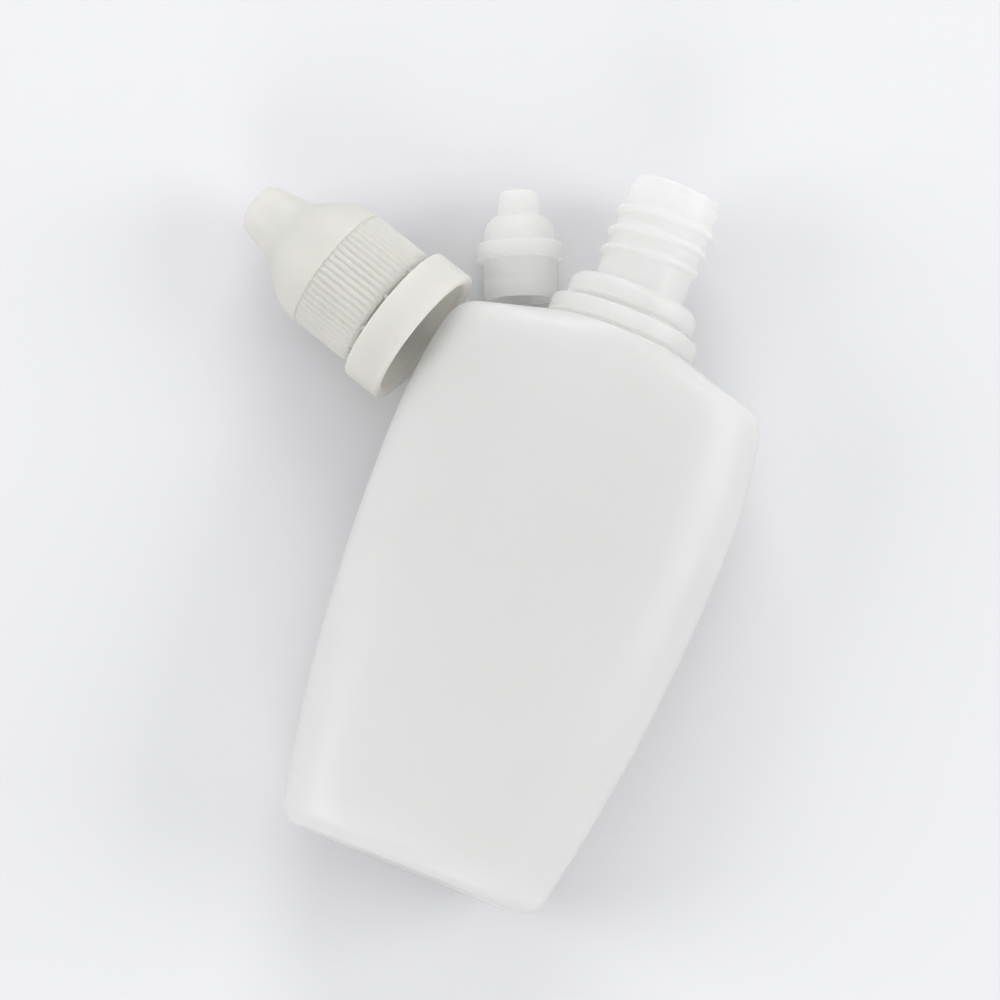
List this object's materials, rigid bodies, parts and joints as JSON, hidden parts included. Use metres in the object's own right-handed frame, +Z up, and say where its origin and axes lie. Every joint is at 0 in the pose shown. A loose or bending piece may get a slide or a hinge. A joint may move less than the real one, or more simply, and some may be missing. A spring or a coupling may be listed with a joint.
{
  "type": "dropper bottle",
  "caption": "Natural squeeze dropper bottle with a flat oval body, lying with its loose nozzle insert and its ribbed ivory cap with tamper band.",
  "frame": {"origin": "on the table, under the middle of the layout's box; the bottle lies on its broad back", "axes": "+Y from the bottle's base to its mouth, +X to the bottle's right with the cap and insert on the -X side of the neck, +Z up from the table"},
  "size_m": [0.0826, 0.105, 0.0246],
  "materials": {
    "natural_ldpe": "satin, translucent, natural low density polyethylene",
    "ivory_polyethylene": "satin, nearly opaque, warm ivory polyethylene"
  },
  "bodies": {
    "bottle": {"bottle": "natural_ldpe"},
    "dropper_insert": {"dropper_insert": "natural_ldpe"},
    "tamper_band": {"tamper_band": "ivory_polyethylene"},
    "cap": {"cap": "ivory_polyethylene"}
  },
  "joints": [
    {"name": "insert_lift", "type": "slide", "parent": "bottle", "child": "dropper_insert", "axis": [-0.1881, 0.2822, 0.9407], "range_m": [0, 0.03]},
    {"name": "cap_lift", "type": "slide", "parent": "bottle", "child": "tamper_band", "axis": [-0.3714, 0, 0.9285], "range_m": [0, 0.032]},
    {"name": "cap_turn", "type": "hinge", "parent": "tamper_band", "child": "cap", "pos_m": [-0.0405, 0.02846, 0.00799], "axis": [0.9472, -0.3005, 0.1119], "continuous": true}
  ]
}
